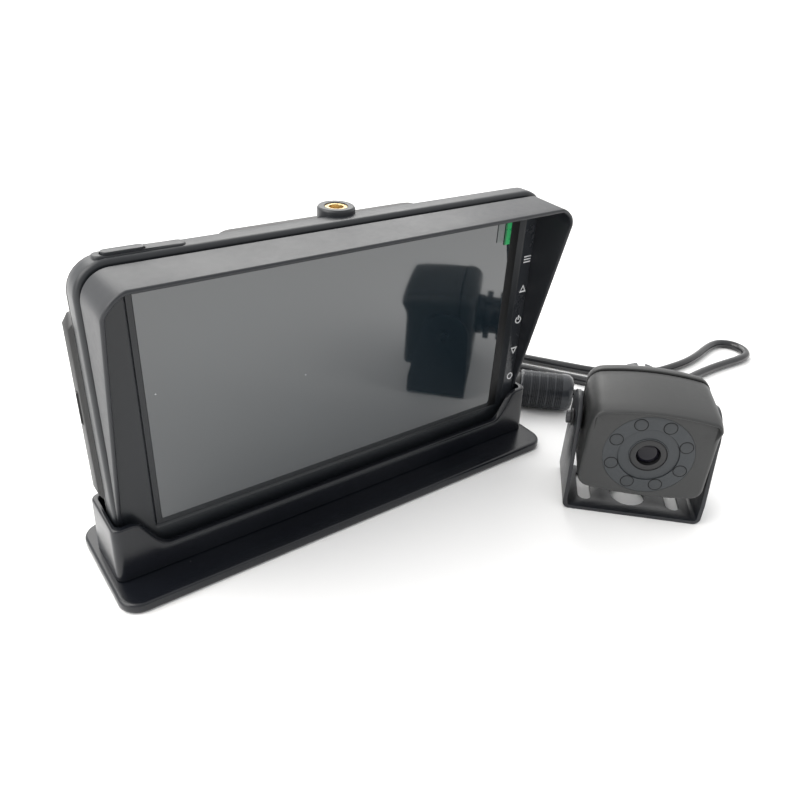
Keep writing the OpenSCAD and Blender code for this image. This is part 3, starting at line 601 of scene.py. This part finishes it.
# ------------------------------------------------------------------- stand
def cradle_mesh():
    nc, nx, ny = 10, 96, 12
    top = rrect(-95.6, 95.6, -11.6, 13, 3, nc, nx, ny)
    bot = rrect(-96.3, 96.3, -12, 13.4, 3, nc, nx, ny)
    inn = rrect(-93.65, 93.65, -9.4, 11.1, 2.2, nc, nx, ny)

    def rim(x, y):
        if y > -8.4:
            return 26.5
        a = abs(x)
        if a <= 77:
            return 14.0
        return min(26.5, 14 + 14.5 * (1 - math.cos(math.pi * min(1.0, (a - 77) / 14))) / 2)

    rings = []
    n = len(top)
    rims = [rim(*p) for p in top]
    # keep the rise of the rim smooth round the corner
    def ring(fn):
        rings.append([fn(i) for i in range(n)])

    def outer(i, z, d=0.0):
        q = max(0.0, min(1.0, (z - 4.1) / 22.4))
        x = bot[i][0] + (top[i][0] - bot[i][0]) * q
        y = bot[i][1] + (top[i][1] - bot[i][1]) * q
        ix, iy = inn[i]
        l = math.hypot(ix - x, iy - y) or 1
        return x + (ix - x) / l * d, y + (iy - y) / l * d

    def o_(z_of, d):
        def fn(i):
            z = z_of(i)
            x, y = outer(i, z, d)
            return (x, y, z)
        return fn

    ring(lambda i: (*outer(i, 4.1, 0.9), 4.1))
    ring(lambda i: (*outer(i, 4.1, 0.35), 4.22))
    ring(lambda i: (*outer(i, 4.5, 0.0), 4.55))
    ring(lambda i: (*outer(i, 6.0, 0.0), 6.0))
    for q in (0.25, 0.5, 0.75):
        ring(o_(lambda i, q=q: 6.0 + (rims[i] - 1.0 - 6.0) * q, 0))
    for a in (0, 22.5, 45, 67.5, 90):
        d = 0.85 * (1 - math.cos(math.radians(a)))
        h = 0.85 * math.sin(math.radians(a))
        ring(o_(lambda i, h=h: rims[i] - 0.85 + h, d))
    def inner(i, z):
        return (inn[i][0], inn[i][1], z)
    for a in (90, 60, 30, 0):
        h = 0.5 * math.sin(math.radians(a))

        def fn(i, h=h):
            ox, oy = outer(i, rims[i])
            l = math.hypot(inn[i][0] - ox, inn[i][1] - oy) or 1
            e = 0.5 - math.sqrt(max(0.0, 0.25 - h * h))
            return (inn[i][0] + (ox - inn[i][0]) / l * e, inn[i][1] + (oy - inn[i][1]) / l * e, rims[i] - 0.5 + h)
        ring(fn)
    for q in (0.66, 0.33):
        ring(lambda i, q=q: inner(i, 6.9 + (rims[i] - 1.2 - 6.9) * q))
    ring(lambda i: inner(i, 6.9))
    def floor(i, d, z):
        x, y = inn[i]
        x2 = max(-93.65 + 2.2, min(93.65 - 2.2, x))
        y2 = max(-9.4 + 2.2, min(11.1 - 2.2, y))
        l = math.hypot(x2 - x, y2 - y) or 1
        return (x + (x2 - x) / l * d, y + (y2 - y) / l * d, z)
    ring(lambda i: floor(i, 0.2, 6.4))
    ring(lambda i: floor(i, 0.7, 6.2))
    return skin(rings, cap0=True, cap1=True)


make("v_cradle", cradle_mesh(), M["stand_plastic"], "stand", 32, ("cradle",))


def plate_mesh():
    rings = []
    for z, d in ((0.0, 0.8), (0.12, 0.62), (0.4, 0.25), (0.8, 0.0), (1.8, 0.0), (2.9, 0.0)):
        rings.append([(x, y, z) for x, y in rrect(-99 + d, 99 - d, -25.1 + d, 25.1 - d, 7.5 - d, 10, 40, 14)])
    for a in (15, 30, 45, 60, 75, 90):
        d = 1.2 * (1 - math.cos(math.radians(a)))
        rings.append([(x, y, 2.9 + 1.2 * math.sin(math.radians(a))) for x, y in rrect(-99 + d, 99 - d, -25.1 + d, 25.1 - d, 7.5 - d, 10, 40, 14)])
    rings.append([(x, y, 4.1) for x, y in rrect(-97.2, 97.2, -23.3, 23.3, 5.7, 10, 40, 14)])
    return skin(rings, cap0=True, cap1=True)


plate = make("v_base_plate", plate_mesh(), M["stand_plastic"], "stand", 36, ("base_plate",))


def cyl_cutter(x, y, z0, z1, r, n=40):
    return skin([[(x + r * math.cos(2 * math.pi * k / n), y + r * math.sin(2 * math.pi * k / n), z) for k in range(n)] for z in (z0, z1)], cap0=True, cap1=True)


pc = bmesh.new()
for x in (-72, -24, 24, 72):
    join(pc, cyl_cutter(x, 0.6, -1, 2.2, 3))
cut(plate, pc)
smooth_again(plate, 36)

# ----------------------------------------------------------- monitor front
def bezel_mesh():
    W, ZB, ZT, R = 93.25, 6.5, 118.2, 11
    K = dict(nc=12, nx=60, nz=36)
    R_ = []

    def ring(y, d, r=None):
        R_.append(at_y(rrect(-W + d, W - d, ZB + d, ZT - d, max(0.5, (R if r is None else r) - d), **K), y))

    for y, d in ((0.5, 0.35), (0.3, 0.08), (0.0, 0.0), (-1.8, 0), (-3.6, 0), (-4.9, 0.03)):
        ring(y, d)
    for a in (15, 30, 45, 60, 75, 90):
        ring(-4.9 - 1.9 * math.sin(math.radians(a)), 0.03 + 1.75 * (1 - math.cos(math.radians(a))))
    ring(-6.8, 2.6)

    def win(y, l, rt, b, t, r):
        R_.append(at_y(rrect(-l, rt, b, t, r, **K), y))

    win(-6.8, 80.1, 85.0, 18.0, 110.2, 1.6)
    win(-6.8, 79.9, 84.55, 18.35, 109.95, 1.4)
    win(-6.72, 79.75, 84.4, 18.55, 109.85, 1.3)
    win(-6.62, 79.6, 84.2, 18.75, 109.7, 1.2)
    win(-6.35, 79.3, 80.2, 19.1, 109.4, 1.0)
    win(-6.2, 79.2, 79.4, 19.2, 109.32, 0.9)
    win(-6.0, 79.15, 79.15, 19.25, 109.3, 0.8)
    win(-4.8, 79.15, 79.15, 19.25, 109.3, 0.8)
    R_.append(at_y(rrect(-91.25, 91.25, 8.5, 116.2, 9, **K), -4.8))
    R_.append(at_y(rrect(-91.25, 91.25, 8.5, 116.2, 9, **K), 0.4))
    R_.append(at_y(rrect(-91.4, 91.4, 8.35, 116.35, 9.15, **K), 0.5))
    return skin(R_, loop=True)


bezel = make("v_front_bezel", bezel_mesh(), M["bezel_plastic"], "monitor", 34, ("front_bezel",))


def oval_ring(z, d, x0=-85.8, x1=-58, y0=-5.2, y1=-0.1, r=2.2):
    return [(x, y, z) for x, y in rrect(x0 + d, x1 - d, y0 + d, y1 - d, max(0.3, r - d), 8, 16, 4)]


cutters = cyl_cutter(0, 4.2, 100, 130, 6.85, 72)
join(cutters, skin([oval_ring(112, 0, -83.4, -70.2, -4.7, -0.7, 1.9), oval_ring(122, 0, -83.4, -70.2, -4.7, -0.7, 1.9)], cap0=True, cap1=True))
cut(bezel, cutters)
pad = skin([oval_ring(117.6, 0), oval_ring(118.25, 0.0), oval_ring(118.5, 0.12), oval_ring(118.68, 0.35), oval_ring(118.76, 0.7),
            oval_ring(118.76, -0.3, -83.4, -70.2, -4.7, -0.7, 1.9), oval_ring(118.7, -0.12, -83.4, -70.2, -4.7, -0.7, 1.9),
            oval_ring(118.55, 0.0, -83.4, -70.2, -4.7, -0.7, 1.9), oval_ring(117.6, 0.0, -83.4, -70.2, -4.7, -0.7, 1.9)], loop=True)
bmesh.ops.recalc_face_normals(pad, faces=pad.faces)
bb = bmesh.new()
bb.from_mesh(bezel.data)
join(bb, pad)
bb.to_mesh(bezel.data)
bb.free()
smooth_again(bezel, 34)

# -------------------------------------------------------------- sunshade
RIM = [(-26.3, 112.6), (-6.85, 24.5)]
RZ = [p[1] for p in RIM][::-1]
RY = [p[0] for p in RIM][::-1]


def hood_mesh():
    def side(w, top, r, p, nz=46, nc=12, nx=40):
        def rnd(v):
            return math.copysign(abs(v) ** (2 / p), v)

        out = []
        zc = top - r
        zs = [24.5 + (zc - 24.5) * (k / nz) for k in range(nz)]
        out += [(-w, z, -1.0, 0.0) for z in zs]
        for k in range(nc + 1):
            a = math.radians(180 - 90 * k / nc)
            out.append((-w + r + r * rnd(math.cos(a)), zc + r * rnd(math.sin(a)), math.cos(a), math.sin(a)))
        out += [((-w + r) + (2 * w - 2 * r) * k / nx, top, 0.0, 1.0) for k in range(1, nx)]
        for k in range(nc + 1):
            a = math.radians(90 - 90 * k / nc)
            out.append((w - r + r * rnd(math.cos(a)), zc + r * rnd(math.sin(a)), math.cos(a), math.sin(a)))
        out += [(w, z, 1.0, 0.0) for z in reversed(zs)]
        return out

    root, front = side(92.2, 117.0, 9.5, 2.0), side(91.7, 116.2, 8.0, 1.55)
    T = 1.5
    bm = bmesh.new()
    cols = []
    for a, b in zip(root, front):
        zmid = a[1]
        for _ in range(6):
            y = float(np.interp(zmid, RZ, RY))
            q = (-6.8 - y) / 19.5
            zmid = a[1] + (b[1] - a[1]) * q
        L = max(0.25, -6.8 - y)
        rl = min(0.7, L * 0.45)
        neck = min(2.1, L * 0.3)

        def P(u, w):
            q = u / 19.5
            x = a[0] + (b[0] - a[0]) * q - a[2] * w
            z = a[1] + (b[1] - a[1]) * q - a[3] * w
            return (x, -6.8 - u, z)

        col = [P(0, 1.15), P(neck * 0.85, 1.15), P(neck, 1.0), P(neck + 0.02, 0.15), P(neck + 0.15 * min(1, L), 0)]
        for q in (0.2, 0.4, 0.6, 0.8):
            col.append(P(neck + 0.2 * min(1, L) + (L - rl - neck - 0.2 * min(1, L)) * q, 0))
        for k in range(0, 7):
            an = math.radians(15 * k)
            col.append(P(L - rl + rl * math.sin(an), rl * (1 - math.cos(an))))
        for k in range(0, 7):
            an = math.radians(90 - 15 * k)
            col.append(P(L - rl + rl * math.sin(an), T - rl * (1 - math.cos(an))))
        for q in (0.8, 0.6, 0.4, 0.2):
            col.append(P((L - rl) * q, T))
        col += [P(L * 0.02, T), P(0, T)]
        cols.append(col)
    return skin(cols, closed=True, cap0=True, cap1=True)


make("v_sunshade_hood", hood_mesh(), M["hood_plastic"], "monitor", 40, ("sunshade_hood",))

# ------------------------------------------------------------------ screen
def plate_xz(x0, x1, z0, z1, r, yf, yb, e=0.12):
    return skin([at_y(rrect(x0, x1, z0, z1, r, 5, 6, 4), yb), at_y(rrect(x0, x1, z0, z1, r, 5, 6, 4), yf + e),
                 at_y(rrect(x0 + e * 0.3, x1 - e * 0.3, z0 + e * 0.3, z1 - e * 0.3, r, 5, 6, 4), yf + e * 0.3),
                 at_y(rrect(x0 + e, x1 - e, z0 + e, z1 - e, r, 5, 6, 4), yf)], cap0=True, cap1=True)


make("v_screen_glass", plate_xz(-77.05, 77.05, 21.3, 107.2, 0.5, -6.3, -5.1, 0.1), M["screen"], "monitor", 12, ("screen_glass",))


def frame_xz(o, i, yf, yb):
    K = dict(nc=5, nx=6, nz=4)
    return skin([at_y(rrect(*o, 0.6, **K), yb), at_y(rrect(*o, 0.6, **K), yf + 0.05), at_y(rrect(o[0] + .06, o[1] - .06, o[2] + .06, o[3] - .06, 0.6, **K), yf),
                 at_y(rrect(i[0] - .1, i[1] + .1, i[2] - .1, i[3] + .1, 0.5, **K), yf), at_y(rrect(*i, 0.4, **K), yf + 0.1), at_y(rrect(*i, 0.4, **K), yb)], loop=True)


border = make("v_screen_border", frame_xz((-79.1, 79.1, 19.3, 109.25), (-77.1, 77.1, 21.25, 107.25), -6.32, -5.1), M["bezel_plastic"], "monitor", 30)
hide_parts("screen_glass")
# Near-black strip over the right-hand chamfer beside the screen: partly the screen's black border, partly painted shade
# of the chamfer wall.
mk = skin([at_y(rrect(77.15, 81.4, 19.3, 109.25, 0.3, 3, 3, 3), -6.3), at_y(rrect(77.15, 81.4, 19.3, 109.25, 0.3, 3, 3, 3), -6.44), at_y(rrect(77.22, 81.3, 19.37, 109.18, 0.25, 3, 3, 3), -6.5)], cap0=True, cap1=True)
make("v_screen_edge_painted_shade", mk, M["screen_border"], "monitor", 30)

# ------------------------------------------------------------- camera head
def outline(w, zb, zt, r, dt, db, nt=18, nc=8, ns=8):
    """Closed outline as (x, z): crowned top and bottom, straight sides, round corners."""
    def corner(top):
        d = dt if top else db
        xc = w - r
        dl = 0.0
        for _ in range(8):
            xe = xc + r * math.sin(dl)
            dl = math.atan(2 * d * xe / w ** 2)
        xe = xc + r * math.sin(dl)
        ze = (zt - d * (xe / w) ** 2) if top else (zb + d * (xe / w) ** 2)
        zc = ze - r * math.cos(dl) if top else ze + r * math.cos(dl)
        return xc, zc, xe, dl
    xc, zc, xe, dl = corner(True)
    xb, zb_c, xbe, dlb = corner(False)
    pts = []
    for k in range(nt + 1):
        x = -xe + 2 * xe * k / nt
        pts.append((x, zt - dt * (x / w) ** 2))
    for k in range(1, nc + 1):
        a = math.radians(90) - dl - (math.radians(90) - dl) * k / nc
        pts.append((xc + r * math.cos(a), zc + r * math.sin(a)))
    for k in range(1, ns + 1):
        pts.append((w, zc + (zb_c - zc) * k / ns))
    for k in range(1, nc + 1):
        a = -(math.radians(90) - dlb) * k / nc
        pts.append((xb + r * math.cos(a), zb_c + r * math.sin(a)))
    for k in range(1, nt + 1):
        x = xbe - 2 * xbe * k / nt
        pts.append((x, zb + db * (x / w) ** 2))
    for k in range(1, nc + 1):
        a = math.radians(270) - dlb - (math.radians(90) - dlb) * k / nc
        pts.append((-xb + r * math.cos(a), zb_c + r * math.sin(a)))
    for k in range(1, ns + 1):
        pts.append((-w, zb_c + (zc - zb_c) * k / ns))
    for k in range(1, nc):
        a = math.radians(180) - (math.radians(90) - dl) * k / nc
        pts.append((-xc + r * math.cos(a), zc + r * math.sin(a)))
    return pts


def inset_outline(d, w, zb, zt, r, dt, db):
    return outline(w - d, zb + d, zt - d, max(0.8, r - d), dt, db)


def head_front():
    base = dict(w=25.0, zb=13.0, zt=57.2, r=7.0, dt=2.8, db=2.0)
    frontp = dict(w=24.9, zb=12.5, zt=56.4, r=6.2, dt=2.6, db=2.0)
    rings = []

    def R3(pts, y):
        rings.append([camf(x, yy, z) for (x, z), yy in zip(pts, y if isinstance(y, list) else [y] * len(pts))])

    b = dict(base)
    seam = dict(b, zt=56.6, r=6.6)
    R3(inset_outline(0.4, **seam), 18.6)
    R3(inset_outline(0.12, **seam), 18.4)
    R3(inset_outline(0.02, **seam), 18.1)
    for y, t in ((14, .12), (9, .3), (4, .55), (0, .8)):
        mix = {k: b[k] + (frontp[k] - b[k]) * t for k in b}
        mix["zt"] = {14: 56.55, 9: 56.3, 4: 55.9, 0: 55.5}[y]
        mix["w"] = {14: 24.98, 9: 24.98, 4: 24.95, 0: 24.9}[y]
        mix["r"] = 7.0 - 1.8 * t
        R3(outline(**mix), y)
    ref = outline(**frontp)
    S = [smoothstep((z - 43.5) / 6.5) for x, z in ref]

    def lerp(lo, hi):
        """lo = (y, inset) for the lower part; hi = (y, top, inset) for the brow"""
        cache = {}
        pts, ys = [], []
        for i, k in enumerate(S):
            key = round(k, 3)
            if key not in cache:
                d = lo[1] + (hi[2] - lo[1]) * key
                top = 53.8 - lo[1] + (hi[1] - 53.8 + lo[1]) * key
                cache[key] = outline(24.9 - d, 12.5 + d, top, max(1.5, 5.0 - d), 2.5, 2.0)
            pts.append(cache[key][i])
            ys.append(lo[0] + (hi[0] - lo[0]) * k)
        R3(pts, ys)

    lerp((-3.6, 0.02), (-4.4, 54.9, 0.05))
    lerp((-4.8, 0.05), (-6.1, 54.6, 0.15))
    brow = [(-7.4, 54.3, 0.3), (-8.4, 54.05, 0.45), (-9.0, 53.87, 0.6), (-9.35, 53.67, 0.75), (-9.55, 53.35, 1.0)]
    for a, hi in zip((18, 36, 54, 72, 90), brow):
        s_, c_ = math.sin(math.radians(a)), 1 - math.cos(math.radians(a))
        lerp((-4.8 - 2.2 * s_, 0.05 + 1.75 * c_), hi)
    lerp((-7.0, 1.95), (-9.55, 53.05, 1.25))
    lerp((-7.0, 2.1), (-9.3, 52.85, 1.5))
    lerp((-7.0, 2.2), (-8.8, 52.75, 1.7))
    lerp((-7.0, 2.3), (-8.1, 52.7, 1.9))
    lerp((-7.0, 2.35), (-7.2, 52.65, 2.2))
    lerp((-7.0, 2.4), (-7.0, 52.6, 2.4))
    # to the round opening
    pts = []
    for i, (x, z) in enumerate(ref):
        a = math.atan2(z - 33, x)
        pts.append((17.9 * math.cos(a), 33 + 17.9 * math.sin(a)))
    R3(pts, -7.0)
    R3([(x * 17.72 / 17.9, 33 + (z - 33) * 17.72 / 17.9) for x, z in pts], -6.9)
    R3([(x * 17.7 / 17.9, 33 + (z - 33) * 17.7 / 17.9) for x, z in pts], -4.8)
    R3(outline(22.4, 14.9, 50.9, 3.6, 2.5, 2.0), -4.4)
    R3(inset_outline(2.4, **base), 18.0)
    R3(inset_outline(2.3, **base), 18.6)
    return skin(rings, loop=True)


make("v_head_front_shell", head_front(), M["camera_paint"], "camera_head", 40, ("head_front_shell",))


def head_rear():
    base = dict(w=25.0, zb=13.0, zt=57.2, r=7.0, dt=2.8, db=2.0)
    rings = []
    for y, d in ((19.2, 0.35), (19.4, 0.08), (19.7, 0.0), (21.4, 0.1), (23.2, 0.45), (24.6, 1.05), (25.7, 1.9), (26.5, 2.9), (26.9, 4.0), (27.0, 5.2)):
        rings.append([camf(x, y, z) for x, z in inset_outline(d, **base)])
    ref = outline(**base)
    for y, rad in ((27.0, 12.0), (27.0, 6.2), (25.0, 6.1)):
        rings.append([camf(rad * math.cos(math.atan2(z - 36.9, x)), y, 36.9 + rad * math.sin(math.atan2(z - 36.9, x))) for x, z in ref])
    rings.append([camf(x, 24.8, z) for x, z in inset_outline(6.0, **base)])
    rings.append([camf(x, 19.4, z) for x, z in inset_outline(2.4, **base)])
    rings.append([camf(x, 19.2, z) for x, z in inset_outline(2.3, **base)])
    return skin(rings, loop=True)


rear = make("v_head_rear_shell", head_rear(), M["camera_paint"], "camera_head", 36, ("head_rear_shell",))


def ycutter(x, z, r, y0, y1, n=32):
    return skin([[camf(x + r * math.cos(2 * math.pi * k / n), y, z + r * math.sin(2 * math.pi * k / n)) for k in range(n)] for y in (y0, y1)], cap0=True, cap1=True)


cc = bmesh.new()
for x in (-18.5, 18.5):
    for z in (24, 48.6):
        join(cc, ycutter(x, z, 2.3, 25.6, 30))
cut(rear, cc)
smooth_again(rear, 36)

# Thin dark raised rings round the eight lamps and the lens: painted shade, standing in for the shadow in the gaps round
# them.
rims = bmesh.new()
for k in range(8):
    a = math.radians(22.5 + 45 * k)
    cx, cz = 14.5 * math.cos(a), 33 + 14.5 * math.sin(a)
    join(rims, skin([[camf(cx + r * math.cos(2 * math.pi * i / 40), y, cz + r * math.sin(2 * math.pi * i / 40)) for i in range(40)]
                     for y, r in ((-6.8, 2.72), (-6.93, 2.72), (-6.96, 2.66), (-6.96, 2.5), (-6.93, 2.44), (-6.8, 2.44))], loop=True))
join(rims, skin([[camf(r * math.cos(2 * math.pi * i / 72), y, 33 + r * math.sin(2 * math.pi * i / 72)) for i in range(72)]
                 for y, r in ((-7.0, 7.32), (-7.12, 7.3), (-7.14, 7.26), (-7.14, 7.04), (-7.1, 7.0), (-7.0, 7.0))], loop=True))
make("v_painted_gap_shadow_rings", rims, M["gasket_rubber"], "camera_head", 40)
# Key strip plate, lighter than the bezel: partly painted reflection of the bright floor.
kp = plate_xz(84.75, 90.3, 21.0, 111.5, 0.6, -6.85, -6.7, 0.05)
make("v_key_panel", kp, M["key_strip_and_painted_reflection"], "monitor", 12)

# -------------------------------------------------- CAD nodes, edges rounded
for node, mt, w in (
    ("rear_cover", "cover_plastic", 0), ("insert_boss", "bezel_plastic", 0.25), ("brass_insert", "brass", 0.18),
    ("top_button", "bezel_plastic", 0.2), ("camera_bracket", "bracket_paint", 0.28), ("face_ring", "camera_face", 0.16),
    ("lens_bezel", "camera_face", 0.25), ("lens_barrel", "lens_black", 0.15), ("lens_glass", "lens_glass", 0),
    ("infrared_lamps", "lamp_caps", 0.3), ("head_gasket", "gasket_rubber", 0), ("pivot_screws", "black_screw", 0.15),
    ("pivot_washers", "socket_plastic", 0.12), ("gland_base", "gland_plastic", 0.3), ("gland_nut", "gland_plastic", 0.3),
    ("gland_bush", "lead_rubber", 0.2), ("connector_body", "socket_plastic", 0.2), ("coupling_ring", "ring_metal", 0.12),
    ("memory_card", "card_plastic", 0.08), ("cradle_screws", "zinc_steel", 0.08), ("power_socket", "socket_plastic", 0.15),
    ("video_socket", "socket_plastic", 0.15), ("coil_ties", "tie_fabric", 0.25), ("head_screws", "black_screw", 0.06),
    ("rear_screws", "black_screw", 0.06),
):
    refine(node, M[mt], w)
for node, mt in (
    ("lcd_module", "sheet_metal"), ("key_symbols", "white_print"), ("touch_board", "circuit_board"), ("main_board", "circuit_board"),
    ("speaker", "speaker_cone"), ("card_reader", "sheet_metal"), ("button_switch", "sheet_metal"), ("film_tab", "green_film"),
    ("lamp_board", "circuit_board"), ("sensor_board", "circuit_board"), ("pivot_inserts", "brass"), ("connector_pins", "brass"),
):
    dress(node, M[mt])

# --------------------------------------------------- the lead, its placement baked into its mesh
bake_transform(lead)

# -------------------------------------------------------- stage and lights
fm = bpy.data.materials.new("stage_floor")
fm.use_nodes = True
fm.node_tree.nodes["Principled BSDF"].inputs["Base Color"].default_value = (0.93, 0.93, 0.93, 1)
fm.node_tree.nodes["Principled BSDF"].inputs["Roughness"].default_value = 0.9
fb = skin([[(-6000, -6000, -0.15), (6000, -6000, -0.15), (6000, 6000, -0.15), (-6000, 6000, -0.15)]], cap0=True)
fme = bpy.data.meshes.new("stage_floor")
fb.to_mesh(fme)
fb.free()
floor = bpy.data.objects.new("stage_floor", fme)
scene.collection.objects.link(floor)
fme.materials.append(fm)

w = bpy.data.worlds.new("studio")
scene.world = w
w.use_nodes = True
wn = w.node_tree
bg = wn.nodes["Background"]
tc = wn.nodes.new("ShaderNodeTexCoord")
sp = wn.nodes.new("ShaderNodeSeparateXYZ")
wn.links.new(tc.outputs["Generated"], sp.inputs["Vector"])
# brighter behind and overhead, darker in front
k1 = maprange(wn, sp.outputs["Y"], -1.0, 0.6, 0.58, 1.0)
bg.inputs["Color"].default_value = (1, 1, 1, 1)
wn.links.new(math_(wn, "MULTIPLY", k1, 1.35), bg.inputs["Strength"])


def area(name, loc, target, size, power, col=(1, 1, 1)):
    ld = bpy.data.lights.new(name, "AREA")
    ld.shape = "RECTANGLE"
    ld.size, ld.size_y = size
    ld.energy = power
    ld.color = col
    o = bpy.data.objects.new(name, ld)
    scene.collection.objects.link(o)
    o.location = loc
    o.rotation_euler = (Vector(target) - Vector(loc)).to_track_quat("-Z", "Y").to_euler()
    return o


area("key_left_top", (-0.9, 0.25, 1.1), (0, 0, 0.05), (1.2, 1.2), 16, (1.0, 0.985, 0.96))
area("top_back", (0.3, 1.1, 1.0), (0, 0, 0.05), (1.6, 0.9), 14, (1.0, 0.99, 0.965))
area("left_side", (-1.1, -0.15, 0.28), (0, 0, 0.04), (0.5, 0.4), 1.5, (1.0, 0.985, 0.96))

scene.view_settings.view_transform = "Standard"
